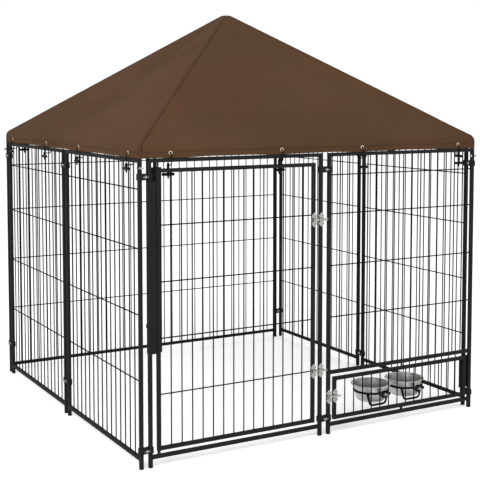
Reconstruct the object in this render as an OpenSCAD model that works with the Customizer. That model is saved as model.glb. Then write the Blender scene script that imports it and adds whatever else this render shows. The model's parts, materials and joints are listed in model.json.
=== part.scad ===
// Outdoor dog kennel run: eight tube and wire panels clamped into a square, a swinging door,
// a turning feeder leaf with two bowls, and a pyramid canopy on four bent poles.
// Millimetres. X runs along the front, +Y to the back, Z up. The origin is on the ground, under the apex.

/* [Run] */
// Outside width of the square run, over the tubes
run_w = 1410; // [1300:10:1800]
// Height of the panels from the ground
panel_h = 1014; // [960:1:1200]
// Clear height under the bottom rails
foot_h = 28; // [15:1:40]
// Gap between the two posts at each corner
corner_gap = 20; // [18:1:30]
// Gap between the two posts in the middle of each side
mid_gap = 24; // [18:1:30]

/* [Tube] */
// Side of the square tube
tube = 12.7; // [12:0.1:14]
// Wall of the square tube
tube_wall = 1; // [0.8:0.1:1.4]
// Outer corner radius of the square tube
tube_r = 1.5; // [1:0.1:2]
// Thickness of the plastic cap on a tube end
cap_t = 2.5; // [2:0.5:4]
// Depth of a cap's plug in the tube
plug_h = 12; // [8:1:20]
// Clearance round a plug in the tube
plug_gap = 0.1; // [0.05:0.05:0.3]

/* [Wire] */
// Diameter of the mesh wire
wire_d = 4.4; // [3:0.1:4.6]
// Upright wires in a panel
panel_wires = 15; // [13:1:17]
// Height of the lowest cross wire above the bottom rail
side_bar_low = 246; // [150:1:300]
// Spacing of the lower three cross wires
side_bar_pitch = 217.5; // [120:0.5:230]
// Drop of the top cross wire below the top rail
side_bar_drop = 86; // [60:1:110]

/* [Door] */
// Gap at each side of the door leaf
door_side_gap = 18; // [16:1:22]
// Gap under the door leaf
door_foot_gap = 12; // [8:1:20]
// Gap over the door leaf
door_head_gap = 20.5; // [18:0.5:26]
// Upright wires in the door leaf
door_wires = 14; // [12:1:16]
// Cross wires in the door leaf
door_bars = 4; // [2:1:4]
// Spacing of the door's cross wires
door_bar_pitch = 186.2; // [120:0.1:200]
// Thickness of the stop plates
stop_t = 2; // [1.5:0.1:3]
// Clearance between a leaf and its stop plate
stop_gap = 0.4; // [0.3:0.1:1]
// Height of the door stop plate's lower end
door_stop_low = 377; // [200:1:600]
// Distance of the door stop plate's top below the top rail
door_stop_drop = 16; // [12:1:40]
// Set-back of the door stop plate's front strip behind the tubes' faces
strip_set = 0.6; // [0.4:0.1:3]
// Reach of a stop plate past the leaf's stile
stop_reach = 11; // [6:1:20]

/* [Feeder] */
// Height of the rail over the feeder leaf
feeder_rail_h = 217.8; // [200:0.1:240]
// Gap at each side of the feeder leaf
feeder_side_gap = 14; // [12:1:18]
// Gap under the feeder leaf
feeder_foot_gap = 9.8; // [8:0.1:14]
// Gap over the feeder leaf
feeder_head_gap = 12.3; // [8:0.1:16]
// Upright wires in the feeder leaf
feeder_wires = 14; // [12:2:16]
// Drop of the feeder panel's top cross wire below the top rail
feeder_bar_drop = 66; // [50:1:90]
// Height of the feeder stop plate's lower end
feeder_stop_low = 80; // [76:1:120]

/* [Pivots] */
// Diameter of the pivot pins
pin_d = 7; // [6:0.5:9]
// Running clearance round a pivot pin
pin_clear = 0.08; // [0.02:0.01:0.1]
// Reach of a pivot pin into the rail
pin_reach = 7; // [5:0.5:8]
// Diameter of the shoulder that carries a leaf
shoulder_d = 11; // [10:0.5:12]
// Free play under a shoulder
shoulder_gap = 0.4; // [0.2:0.1:0.8]

/* [Latches] */
// Height of the upper door latch
latch_high = 780; // [500:1:880]
// Height of the lower door latch
latch_low = 239; // [150:1:330]
// Height of the feeder latch
latch_feed = 137; // [110:1:160]
// Height of a latch plate
latch_plate_h = 50; // [44:1:60]
// Thickness of a latch plate
latch_t = 1.6; // [1:0.1:2.5]
// Outer diameter of a latch barrel
barrel_d = 10; // [9:0.5:12]
// Diameter of the sliding bolt
bolt_d = 6; // [5:0.5:7]
// Clearance round the sliding bolt
bolt_clear = 0.3; // [0.2:0.05:0.5]
// Travel of the sliding bolt
bolt_travel = 9; // [7:1:12]
// Outer diameter of the pull ring
ring_d = 12; // [11:0.5:16]
// Wire of the pull ring
ring_wire = 2.4; // [2:0.1:3]
// Reach of the keeper's barrel past its post
keep_reach = 2; // [1:0.5:3]
// Reach of the housing's barrel past the middle of its post
barrel_tail = 2.5; // [2:0.5:6]
// Gap between the two plates of a latch
plate_gap = 3.2; // [2:0.1:5]
// Diameter of a latch rivet's head
rivet_d = 6; // [5:0.5:7]
// Height of a latch rivet's head
rivet_h = 1.2; // [0.8:0.1:1.8]

/* [Clamps] */
// Height of a clamp plate
clamp_h = 21; // [16:1:26]
// Sheet thickness of a clamp plate
clamp_t = 2; // [1.5:0.1:2.5]
// Wrap of a clamp round the post's side
clamp_wrap = 5; // [3:0.5:6]
// Depth of a clamp's middle between the posts
clamp_dip = 3; // [2.5:0.5:5]
// Height of the upper clamps
clamp_high = 956; // [700:1:960]
// Height of the lower clamps at the front and the right
clamp_low_front = 60; // [58:1:62]
// Height of the lower clamps at the back and the left
clamp_low_rear = 130; // [100:1:200]
// Diameter of the clamp bolts
screw_d = 6; // [5:0.5:7]
// Clearance round a clamp bolt
screw_clear = 0.2; // [0.1:0.05:0.4]
// Height of a wing nut
nut_h = 8; // [6:0.5:9]
// Width across the wings
wing_w = 21; // [18:0.5:26]
// Thickness of a wing nut's wings
wing_t = 2.5; // [2:0.1:3]
// Diameter of a wing nut's boss
boss_d = 11; // [10:0.5:12]
// Clearance between a clamp plate and the posts
clamp_slack = 0.2; // [0.1:0.05:0.3]
// Reach of a bolt past its nut
screw_tail = 3; // [1:0.5:5]
// Thickness of a bolt's head
head_t = 3.2; // [2.4:0.1:4]
// Diameter of a bolt's head
head_d = 13; // [11:0.5:14]

/* [Bowls] */
// Outer diameter of a bowl's rim
bowl_rim_d = 153; // [145:1:155]
// Outer diameter of a bowl under its rim
bowl_d = 134; // [124:1:138]
// Outer diameter of a bowl at its foot
bowl_foot_d = 114; // [100:1:120]
// Height of a bowl
bowl_h = 64; // [56:1:68]
// Wall of a bowl
bowl_wall = 1.2; // [0.8:0.1:2]
// Height of the bowl rims
bowl_z = 133; // [126:0.5:140]
// Distance of the bowl centres behind the leaf
bowl_back = 84; // [83:0.5:100]
// Wire of the bowl holders
holder_wire = 5.6; // [4:0.1:7]
// Drop of a holder's ring below the bowl's rim
ring_drop = 27; // [22:1:32]
// Clearance between a bowl and its holder
holder_gap = 0.5; // [0.4:0.1:1]
// Half width of a holder's bracket
bracket_half = 40; // [34:1:41]
// Half width of a bracket at its lower end
bracket_low = 22; // [16:1:32]
// Distance of a bracket's middle to the left of its bolt
bracket_shift = 24; // [14:1:24]
// Drop of a holder's bracket below the ring
bracket_drop = 30; // [28:1:37]
// Height of the holder bolts
holder_bolt_z = 110; // [104:1:114]
// Width of a holder's strap
strap_w = 16; // [12:1:20]
// Thickness of a holder's strap and clip
strap_t = 2.5; // [2:0.1:3]
// Height of a holder's strap above its bolt
strap_over = 8; // [7:0.5:12]
// Height of a holder's clip
clip_h = 12; // [11:0.5:16]
// Reach of a clip past the wires that it spans
clip_lap = 4; // [3:0.5:6]
// Rounding of a bowl's foot
bowl_round = 14; // [10:1:18]
// Radius of a bowl's rolled lip
bowl_lip = 1.5; // [1.3:0.1:2.2]

/* [Roof] */
// Height of the canopy's top
apex_h = 1541; // [1400:1:1700]
// Diameter of the roof poles
pole_d = 9.5; // [8:0.1:9.8]
// Wall of the roof poles
pole_wall = 1; // [0.8:0.1:1.4]
// Depth of a pole in its corner post
pole_depth = 60; // [45:1:90]
// Radius of the bend at the foot of a pole
pole_bend = 24; // [16:1:60]
// Height of a pole's bend above the posts
pole_rise = 26; // [25:1:40]
// Drop of the pole bolts below the post tops
pole_bolt_drop = 29; // [20:1:40]
// Drop of the poles' ends below the canopy's top
hub_drop = 9; // [6:0.5:16]
// Diameter of the hub
hub_d = 24; // [20:1:26]
// Height of the hub
hub_h = 26; // [22:1:34]
// Distance from the axis at which the poles aim at the hub
hub_aim = 20; // [16:1:24]
// Length of the hub's arms
arm_len = 34; // [28:1:50]
// Length of the hub's spigots in the poles
spigot_len = 34; // [20:1:60]
// Thickness of the canopy
canopy_t = 1; // [0.8:0.1:1.5]
// Clearance between the canopy and what carries it
canopy_gap = 0.4; // [0.3:0.1:0.8]
// Height of the canopy's hem above the posts
hem_gap = 2; // [1:0.5:6]

/* [Fastenings] */
// Height of the grommets above the posts
grommet_up = 17; // [14:0.5:18]
// Outer diameter of a grommet
grommet_d = 14; // [12:0.5:16]
// Hole of a grommet
grommet_hole = 7.4; // [7:0.1:8]
// Thickness of a grommet's flange
grommet_t = 0.8; // [0.6:0.1:1.2]
// Wall of a grommet's barrel
barrel_wall = 0.8; // [0.6:0.1:1]
// Diameter of the elastic cord
cord_d = 4; // [3:0.1:4.4]
// Distance of the cord's strands from the tube's middle
cord_out = 12.5; // [11:0.1:14]
// Drop of the cord's turn below the top rail
cord_drop = 10; // [6:0.5:12]
// Radius of the cord's turn behind the rail
cord_turn = 6; // [5:0.5:8]
// Rise of a toggle's neck above the cord's turn
neck_rise = 5; // [4:0.5:7]
// Length of a toggle's bar
toggle_w = 47; // [36:1:54]
// Thickness of a toggle's bar
toggle_d = 10; // [8:0.5:11]
// Diameter of a toggle's neck
neck_d = 9; // [8:0.5:10]
// Drop of a front toggle's bar below the top rail
toggle_drop = 41; // [30:1:46]
// Drop of the other toggles' bars below the top rail
side_toggle_drop = 22; // [18:1:40]
// Length of a toggle's tip
tip_h = 11; // [6:1:14]
// Diameter of a toggle's pointed end
tip_d = 3; // [2:0.5:5]

/* [Hidden] */
$fn = 48;
black = [0.17, 0.17, 0.17];
zinc = [0.7, 0.7, 0.68];
half = run_w / 2;
h = tube / 2;
bore = tube - 2 * tube_wall;
mid_y = h - half;
front_y = -half;
inner_y = tube - half;
panel_w = (run_w - tube - corner_gap - mid_gap) / 2;
a0 = tube + corner_gap - half;
b0 = a0 + panel_w + mid_gap;
corner_u = h - half;
low_top = foot_h + tube;
head_z = panel_h - tube;
// Upright wires stand at equal steps between the posts
panel_pitch = (panel_w - 2 * tube) / (panel_wires + 1);
side_bars = [low_top + side_bar_low, low_top + side_bar_low + side_bar_pitch,
    low_top + side_bar_low + 2 * side_bar_pitch, head_z - side_bar_drop];
// Door leaf
door_u0 = a0 + tube + door_side_gap;
door_u1 = a0 + panel_w - tube - door_side_gap;
door_z0 = low_top + door_foot_gap;
door_z1 = head_z - door_head_gap;
door_axis = door_u0 + h;
door_bar_mid = (door_z0 + door_z1) / 2;
door_bar_z = [for (i = [0 : door_bars - 1]) door_bar_mid + (i - (door_bars - 1) / 2) * door_bar_pitch];
// Feeder leaf
feed_u0 = b0 + tube + feeder_side_gap;
feed_u1 = b0 + panel_w - tube - feeder_side_gap;
feed_z0 = low_top + feeder_foot_gap;
feed_z1 = feeder_rail_h - feeder_head_gap;
feed_axis = (feed_u0 + feed_u1) / 2;
feed_pitch = (feed_u1 - feed_u0 - 2 * tube) / (feeder_wires + 1);
feed_bars = concat([for (i = [1 : door_bars - 1]) door_bar_z[i]], [head_z - feeder_bar_drop]);
bowl_off = 2 * feed_pitch;
bowl_y = mid_y + bowl_back;
// Latches, measured from the tube's front face
bolt_y = latch_t + barrel_d / 2 - 0.6;
lobe_r = latch_plate_h * 0.11;
post_b = a0 + panel_w - h;
// Clamps
clamp_low = [clamp_low_front, clamp_low_front, clamp_low_rear, clamp_low_rear];
corner_pair = tube + corner_gap / 2 - half;
mid_pair = b0 - mid_gap / 2;
nut_seat = h - clamp_dip + clamp_t;
// Roof poles, in the upright plane through the corner: rho from the axis, z up
rho_post = -corner_u * sqrt(2);
bend_z = panel_h + pole_rise;
hub_z = apex_h - hub_drop;
pole_run = rho_post - pole_bend - hub_aim;
pole_lift = hub_z - bend_z;
slope = acos(pole_bend / norm([pole_run, pole_lift])) - atan2(pole_run, pole_lift);
bend_turn = 90 - slope;
bend_end = [rho_post - pole_bend * (1 - cos(bend_turn)), bend_z + pole_bend * sin(bend_turn)];
arm_start = arm_len * cos(slope);
axis_top = bend_end[1] + bend_end[0] * tan(slope);
pole_len = (bend_end[0] - arm_start) / cos(slope);
// Canopy profile over the poles, seen along a side
canopy_steps = 8;
canopy_in = pole_d / 2 + canopy_gap;
hem_z = panel_h + hem_gap;
valance = -corner_u + canopy_in;
grommet_z = panel_h + grommet_up;
// Elastic cords, in the plane across a rail
loop_z = grommet_z - sqrt(pow(cord_out, 2) - pow(valance + canopy_t / 2 + mid_y, 2));
cord_z = head_z - cord_drop;
neck_top = cord_z + neck_rise;
bar_z = [for (side = [0 : 3]) head_z - (side == 0 ? toggle_drop : side_toggle_drop)];
// Places along a side: clear of the upright wires, and clear of the open door
cord_a1 = a0 + tube + 1.25 * panel_pitch;
cord_a2 = a0 + tube + 11.75 * panel_pitch;
cord_b1 = b0 + tube + 3.25 * panel_pitch;
cord_b2 = b0 + tube + (panel_wires - 0.75) * panel_pitch;
door_cord_a1 = door_u0 + tube + stop_reach + toggle_w / 2 + 3;
door_cord_a2 = a0 + tube + 12.1 * panel_pitch;
function cord_places(side) = side == 0 ? [door_cord_a1, door_cord_a2, cord_b1, cord_b2]
    : [cord_a1, cord_a2, cord_b1, cord_b2];
function toggle_inside(side, i) = side == 0 && i < 2;
function bend_point(a, off) = let (n = [cos(a), sin(a) / sqrt(2)])
    [-corner_u - pole_bend * (1 - cos(a)) / sqrt(2), bend_z + pole_bend * sin(a)] + off * n / norm(n);
function canopy_top(off, z) = let (p = bend_point(bend_turn, off))
    [p[0] - (z - p[1]) / (tan(slope) * sqrt(2)), z];
function canopy_edge(off, z0, z1) = concat([[-corner_u + off, z0]],
    [for (i = [0 : canopy_steps]) bend_point(bend_turn * i / canopy_steps, off)], [canopy_top(off, z1)]);
function mirrored(p) = concat(p, [for (i = [len(p) - 1 : -1 : 0]) [-p[i][0], p[i][1]]]);

// Turns the front side's coordinates to another side: 0 front, 1 right, 2 back, 3 left
module on_side(side) {
    rotate([0, 0, 90 * side]) children();
}

// Tubes, wires and caps
module round_square(side, r) {
    square([side - 2 * r, side], center = true);
    square([side, side - 2 * r], center = true);
    for (sx = [-1, 1], sy = [-1, 1]) {
        translate([sx * (side / 2 - r), sy * (side / 2 - r)]) circle(r);
    }
}

module tube_section() {
    difference() {
        round_square(tube, tube_r);
        square(bore, center = true);
    }
}

module post(u, z0, z1) {
    translate([u, mid_y, z0]) linear_extrude(z1 - z0) tube_section();
}

module rail(u0, u1, z) {
    translate([u0, mid_y, z + h]) rotate([0, 90, 0]) linear_extrude(u1 - u0) tube_section();
}

module upright_wires(u0, u1, z0, z1, count) {
    step = (u1 - u0) / (count + 1);
    for (i = [1 : count]) {
        translate([u0 + i * step, mid_y, z0]) cylinder(d = wire_d, h = z1 - z0);
    }
}

module cross_wires(u0, u1, heights) {
    for (z = heights) {
        translate([u0, mid_y + wire_d, z]) rotate([0, 90, 0]) cylinder(d = wire_d, h = u1 - u0);
    }
}

module end_cap(u, z, up) {
    translate([u, mid_y, z]) mirror([0, 0, up ? 1 : 0]) {
        linear_extrude(cap_t) round_square(tube, tube_r);
        translate([0, 0, cap_t]) linear_extrude(plug_h) square(bore - 2 * plug_gap, center = true);
    }
}

// The post at a corner stays open for its roof pole and is drilled for the pole's bolt
module corner_post(u) {
    difference() {
        post(u, cap_t, panel_h);
        translate([u, mid_y, panel_h - pole_bolt_drop]) rotate([90, 0, 0])
            cylinder(d = screw_d + 2 * screw_clear, h = 2 * tube, center = true);
        translate([u, mid_y, panel_h - pole_bolt_drop]) rotate([0, 90, 0])
            cylinder(d = screw_d + 2 * screw_clear, h = 2 * tube, center = true);
    }
}

module panel_posts(u0, at_corner) {
    post(u0 + h, cap_t, panel_h - cap_t);
    if (at_corner) corner_post(u0 + panel_w - h);
    else post(u0 + panel_w - h, cap_t, panel_h - cap_t);
}

module pin_hole(u, z) {
    translate([u, mid_y, z]) cylinder(d = pin_d + 2 * pin_clear, h = 2 * tube_wall + 0.5, center = true);
}

module plain_frame(side, second) {
    u0 = second ? b0 : a0;
    color(black) on_side(side) {
        panel_posts(u0, second);
        rail(u0 + tube, u0 + panel_w - tube, foot_h);
        rail(u0 + tube, u0 + panel_w - tube, head_z);
    }
}

module plain_mesh(side, second) {
    u0 = (second ? b0 : a0) + tube;
    u1 = u0 + panel_w - 2 * tube;
    color(black) on_side(side) {
        upright_wires(u0, u1, low_top, head_z, panel_wires);
        cross_wires(u0, u1, side_bars);
    }
}

module right_front_frame() {
    plain_frame(1, false);
}

module right_front_mesh() {
    plain_mesh(1, false);
}

module right_rear_frame() {
    plain_frame(1, true);
}

module right_rear_mesh() {
    plain_mesh(1, true);
}

module back_right_frame() {
    plain_frame(2, false);
}

module back_right_mesh() {
    plain_mesh(2, false);
}

module back_left_frame() {
    plain_frame(2, true);
}

module back_left_mesh() {
    plain_mesh(2, true);
}

module left_rear_frame() {
    plain_frame(3, false);
}

module left_rear_mesh() {
    plain_mesh(3, false);
}

module left_front_frame() {
    plain_frame(3, true);
}

module left_front_mesh() {
    plain_mesh(3, true);
}

// Front panels: the door's frame and the feeder's frame, drilled for the pivot pins
module door_panel_frame() {
    color(black) {
        panel_posts(a0, false);
        difference() {
            rail(a0 + tube, a0 + panel_w - tube, foot_h);
            pin_hole(door_axis, low_top);
        }
        difference() {
            rail(a0 + tube, a0 + panel_w - tube, head_z);
            pin_hole(door_axis, head_z);
        }
    }
}

module feeder_panel_frame() {
    color(black) {
        panel_posts(b0, true);
        difference() {
            rail(b0 + tube, b0 + panel_w - tube, foot_h);
            pin_hole(feed_axis, low_top);
        }
        difference() {
            rail(b0 + tube, b0 + panel_w - tube, feeder_rail_h);
            pin_hole(feed_axis, feeder_rail_h);
        }
        rail(b0 + tube, b0 + panel_w - tube, head_z);
    }
}

module feeder_panel_mesh() {
    color(black) {
        upright_wires(b0 + tube, b0 + panel_w - tube, feeder_rail_h + tube, head_z, panel_wires);
        cross_wires(b0 + tube, b0 + panel_w - tube, feed_bars);
    }
}

module foot_caps() {
    color([0.1, 0.1, 0.1]) for (side = [0 : 3]) on_side(side) {
        for (u = [a0 + h, a0 + panel_w - h, b0 + h, b0 + panel_w - h]) end_cap(u, 0, false);
    }
}

module post_caps() {
    color([0.1, 0.1, 0.1]) for (side = [0 : 3]) on_side(side) {
        for (u = [a0 + h, a0 + panel_w - h, b0 + h]) end_cap(u, panel_h, true);
    }
}

// Clamps: two dished plates, a bolt and a wing nut, in the plane across the two posts
module clamp_plate(gap) {
    g = gap / 2;
    wall = g - clamp_slack;
    far = g + tube;
    mid = clamp_dip - h;
    right = [[wall - clamp_t, mid - clamp_t], [wall - clamp_t, -h - clamp_t], [far + clamp_t, -h - clamp_t],
        [far + clamp_t, clamp_wrap - h], [far, clamp_wrap - h], [far, -h], [wall, -h], [wall, mid]];
    difference() {
        linear_extrude(clamp_h, center = true) polygon(mirrored(right));
        rotate([90, 0, 0]) cylinder(d = screw_d + 2 * screw_clear, h = 2 * tube);
    }
}

module at_clamps() {
    for (side = [0 : 3]) on_side(side) for (z = [clamp_low[side], clamp_high]) {
        translate([corner_pair, mid_y, z]) {
            $gap = corner_gap;
            children();
        }
        translate([mid_pair, mid_y, z]) {
            $gap = mid_gap;
            children();
        }
    }
}

module screw(from, to) {
    translate([0, from, 0]) rotate([90, 0, 0]) cylinder(d = screw_d, h = from - to);
    translate([0, from, 0]) rotate([-90, 0, 0]) cylinder(d1 = head_d, d2 = head_d * 0.55, h = head_t);
}

module wing_nut(seat) {
    wing_x = wing_w / 2 - 3;
    translate([0, seat, 0]) difference() {
        union() {
            rotate([90, 0, 0]) cylinder(d1 = boss_d, d2 = boss_d - 2, h = nut_h);
            translate([0, 0, -wing_t / 2]) linear_extrude(wing_t) for (s = [-1, 1]) {
                translate([s * wing_x, 2 - nut_h]) circle(3);
                translate([s * wing_x / 2, 3.4 - nut_h]) square([wing_x, 3.2], center = true);
            }
        }
        rotate([90, 0, 0]) cylinder(d = screw_d + 2 * screw_clear, h = 4 * nut_h, center = true);
    }
}

module clamp_outer_plates() {
    color(black) at_clamps() clamp_plate($gap);
}

module clamp_inner_plates() {
    color(black) at_clamps() mirror([0, 1, 0]) clamp_plate($gap);
}

module clamp_bolts() {
    color(zinc) at_clamps() screw(nut_seat, -nut_seat - nut_h - screw_tail);
}

module at_corners() {
    for (side = [0 : 3]) on_side(side) translate([corner_u, mid_y, panel_h - pole_bolt_drop]) children();
}

module pole_bolts() {
    color(zinc) at_corners() screw(h, -h - nut_h - screw_tail);
}

module wing_nuts() {
    color(zinc) {
        at_clamps() wing_nut(-nut_seat);
        at_corners() wing_nut(-h);
    }
}

// Door leaf: it turns on plugs in the ends of its hinge stile
module door_frame() {
    color(black) {
        post(door_axis, door_z0, door_z1);
        post(door_u1 - h, door_z0 + cap_t, door_z1 - cap_t);
        rail(door_u0 + tube, door_u1 - tube, door_z0);
        rail(door_u0 + tube, door_u1 - tube, door_z1 - tube);
    }
}

module door_mesh() {
    color(black) {
        upright_wires(door_u0 + tube, door_u1 - tube, door_z0 + tube, door_z1 - tube, door_wires);
        cross_wires(door_u0 + tube, door_u1 - tube, door_bar_z);
    }
}

module door_caps() {
    color([0.1, 0.1, 0.1]) {
        end_cap(door_u1 - h, door_z0, false);
        end_cap(door_u1 - h, door_z1, true);
    }
}

module stile_plug(z, up, gap, shoulder) {
    translate([door_axis, mid_y, z]) mirror([0, 0, up ? 0 : 1]) {
        translate([0, 0, -plug_h]) linear_extrude(plug_h) square(bore - 2 * plug_gap, center = true);
        cylinder(d = pin_d, h = gap + pin_reach);
        if (shoulder) cylinder(d = shoulder_d, h = gap - shoulder_gap);
    }
}

module door_pivot_pins() {
    color(zinc) {
        stile_plug(door_z1, true, door_head_gap, false);
        stile_plug(door_z0, false, door_foot_gap, true);
    }
}

// Stop plate of the hinge side: a strip that closes the gap in front, a web, and a flange behind the stile,
// notched round the upper clamp
module door_stop_plate() {
    web = clamp_t + 2;
    edge = door_u0 + tube + stop_reach;
    top = head_z - door_stop_drop;
    notch = clamp_high - clamp_h / 2 - 4;
    tall = notch - door_stop_low;
    // The plate stays clear of the stile, whose corners swing past it
    off = (h - tube_r) * sqrt(2) + tube_r - h + stop_gap;
    face = strip_set - tube;
    color(black) translate([0, inner_y, door_stop_low]) {
        translate([a0, 0, 0]) cube([tube, stop_t, tall]);
        translate([a0 + tube, face, 0]) cube([web, off + stop_t - face, tall]);
        translate([a0 + tube + web, face, 0]) cube([door_side_gap - web - off, stop_t, tall]);
        translate([a0 + tube + web, off, 0]) cube([edge - a0 - tube - web, stop_t, top - door_stop_low]);
    }
}

// Feeder leaf: it turns about its middle on pins through its rails
module feeder_frame() {
    color(black) {
        post(feed_u0 + h, feed_z0 + cap_t, feed_z1 - cap_t);
        post(feed_u1 - h, feed_z0 + cap_t, feed_z1 - cap_t);
        difference() {
            rail(feed_u0 + tube, feed_u1 - tube, feed_z0);
            pin_hole(feed_axis, feed_z0);
        }
        difference() {
            rail(feed_u0 + tube, feed_u1 - tube, feed_z1 - tube);
            pin_hole(feed_axis, feed_z1);
        }
    }
}

module feeder_mesh() {
    color(black) upright_wires(feed_u0 + tube, feed_u1 - tube, feed_z0 + tube, feed_z1 - tube, feeder_wires);
}

module feeder_caps() {
    color([0.1, 0.1, 0.1]) for (u = [feed_u0 + h, feed_u1 - h]) {
        end_cap(u, feed_z0, false);
        end_cap(u, feed_z1, true);
    }
}

module rail_pin(z, up, gap, shoulder) {
    translate([feed_axis, mid_y, z]) mirror([0, 0, up ? 0 : 1]) {
        translate([0, 0, tube_wall - tube]) cylinder(d = pin_d, h = tube - tube_wall + gap + pin_reach);
        if (shoulder) cylinder(d = shoulder_d, h = gap - shoulder_gap);
    }
}

module feeder_pivot_pins() {
    color(zinc) {
        rail_pin(feed_z1, true, feeder_head_gap, false);
        rail_pin(feed_z0, false, feeder_foot_gap, true);
    }
}

module feeder_stop_plate() {
    edge = feed_u1 - tube - stop_reach;
    post_face = b0 + panel_w - tube;
    tall = feed_z1 - feeder_stop_low;
    color(black) translate([0, inner_y, feeder_stop_low]) {
        translate([post_face, 0, 0]) cube([tube - 3, stop_t, tall]);
        translate([edge, stop_gap, 0]) cube([post_face - edge, stop_t - stop_gap, tall]);
    }
}

// Latches: a lobed plate with a barrel on each side of the gap, and a bolt with a pull ring
module lobed_plate(gap) {
    arm = latch_plate_h / 2 - lobe_r * 1.1;
    waist_r = lobe_r * 1.15;
    waist = plate_edge(gap) - waist_r;
    rotate([90, 0, 0]) linear_extrude(latch_t) {
        square([2 * lobe_r + 2, latch_plate_h * 0.6], center = true);
        for (t = [-1, 1]) translate([t * waist, 0]) circle(waist_r);
        for (s = [-1, 1]) {
            translate([0, s * arm]) circle(lobe_r * 1.1);
            for (t = [-1, 1]) translate([t * lobe_r, s * (arm - lobe_r)]) circle(lobe_r);
        }
    }
    for (s = [-1, 1]) translate([0, -latch_t, s * arm]) rotate([90, 0, 0])
        cylinder(d1 = rivet_d, d2 = rivet_d * 2 / 3, h = rivet_h);
}

module latch_side(gap, x0, x1) {
    difference() {
        union() {
            lobed_plate(gap);
            translate([x0, -bolt_y, 0]) rotate([0, 90, 0]) cylinder(d = barrel_d, h = x1 - x0);
        }
        translate([x0 - 1, -bolt_y, 0]) rotate([0, 90, 0])
            cylinder(d = bolt_d + 2 * bolt_clear, h = x1 - x0 + 2);
    }
}

// The housing stands on the right of the gap, and both barrels end with their plates
function plate_edge(gap) = h + (gap - plate_gap) / 2;

module housing(gap) {
    latch_side(gap, -plate_edge(gap), barrel_tail);
}

module keeper(gap) {
    latch_side(gap, -h - keep_reach, plate_edge(gap));
}

module sliding_bolt(gap) {
    tip = 0.5 - plate_edge(gap);
    tail = barrel_tail + bolt_travel + ring_wire + 0.5;
    translate([tip, -bolt_y, 0]) rotate([0, 90, 0]) cylinder(d = bolt_d, h = tail - tip);
    translate([tail + ring_d / 2 - ring_wire, -bolt_y, 0]) rotate([90, 0, 0])
        rotate_extrude() translate([ring_d / 2 - ring_wire / 2, 0]) circle(d = ring_wire);
}

module door_latch_housings() {
    color(zinc) for (z = [latch_low, latch_high]) translate([post_b, front_y, z]) housing(door_side_gap);
}

module door_latch_keepers() {
    color(zinc) for (z = [latch_low, latch_high]) translate([door_u1 - h, front_y, z]) keeper(door_side_gap);
}

module door_bolt_upper() {
    color(zinc) translate([post_b, front_y, latch_high]) sliding_bolt(door_side_gap);
}

module door_bolt_lower() {
    color(zinc) translate([post_b, front_y, latch_low]) sliding_bolt(door_side_gap);
}

module feeder_latch_housing() {
    color(zinc) translate([feed_u0 + h, front_y, latch_feed]) housing(feeder_side_gap);
}

module feeder_latch_keeper() {
    color(zinc) translate([b0 + h, front_y, latch_feed]) keeper(feeder_side_gap);
}

module feeder_bolt() {
    color(zinc) translate([feed_u0 + h, front_y, latch_feed]) sliding_bolt(feeder_side_gap);
}

// Bowls in wire ring holders that are bolted to the feeder leaf's wires
function cup_r(z) = bowl_foot_d / 2 + (bowl_d - bowl_foot_d) / 2 * (z - bowl_round) / (bowl_h - bowl_round);

// A bowl's outline: a rounded foot and a wall that leans out to the rim
function cup_outline(inset, top) = let (r = bowl_round - inset, foot = bowl_foot_d / 2 - bowl_round)
    concat([[0, inset], [foot, inset]],
    [for (i = [1 : 6]) [foot + r * sin(15 * i), bowl_round - r * cos(15 * i)]],
    [[cup_r(top) - inset, top], [0, top]]);

module bowl(u) {
    r = bowl_d / 2;
    color([0.72, 0.72, 0.7]) translate([u, bowl_y, bowl_z - bowl_h]) rotate_extrude($fn = 96) {
        difference() {
            polygon(cup_outline(0, bowl_h));
            polygon(cup_outline(bowl_wall, bowl_h + 1));
        }
        translate([r - bowl_wall, bowl_h - bowl_wall]) square([bowl_rim_d / 2 - bowl_lip - r + bowl_wall, bowl_wall]);
        translate([bowl_rim_d / 2 - bowl_lip, bowl_h - bowl_lip]) circle(bowl_lip);
    }
}

module rod(a, b) {
    v = b - a;
    translate(a) rotate([0, acos(v[2] / norm(v)), atan2(v[1], v[0])]) cylinder(d = holder_wire, h = norm(v));
}

module bowl_holder(u) {
    ring_r = cup_r(bowl_h - ring_drop) + holder_gap + holder_wire / 2;
    ring_z = bowl_z - ring_drop;
    strap_y = mid_y + wire_d / 2;
    wire_y = strap_y + strap_t + holder_wire / 2 - 0.5;
    low = ring_z - bracket_drop;
    // The arms pass just under the ring, where they are welded to it
    arm_z = ring_z - holder_wire - 0.02;
    mid = u - bracket_shift;
    color(black) {
        translate([u, bowl_y, ring_z]) rotate_extrude($fn = 96) translate([ring_r, 0]) circle(d = holder_wire);
        for (s = [-1, 1]) {
            top_x = mid + s * bracket_half;
            meet_y = bowl_y - sqrt(pow(ring_r, 2) - pow(top_x - u, 2));
            rod([mid + s * bracket_low, wire_y, low], [top_x, wire_y, arm_z]);
            rod([top_x, wire_y, arm_z], [top_x, meet_y, arm_z]);
            translate([top_x, wire_y, arm_z]) sphere(d = holder_wire * 1.1);
            translate([mid + s * bracket_low, wire_y, low]) sphere(d = holder_wire * 1.1);
        }
        rod([mid - bracket_low, wire_y, low], [mid + bracket_low, wire_y, low]);
        difference() {
            translate([u - strap_w / 2, strap_y, low - holder_wire / 2])
                cube([strap_w, strap_t, holder_bolt_z - low + holder_wire / 2 + strap_over]);
            translate([u, mid_y, holder_bolt_z]) rotate([90, 0, 0])
                cylinder(d = screw_d + 2 * screw_clear, h = 4 * tube, center = true);
        }
    }
}

module at_holders() {
    for (s = [-1, 1]) translate([feed_axis + s * bowl_off, mid_y, holder_bolt_z]) children();
}

module bowl_holder_left() {
    bowl_holder(feed_axis - bowl_off);
}

module bowl_holder_right() {
    bowl_holder(feed_axis + bowl_off);
}

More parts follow.
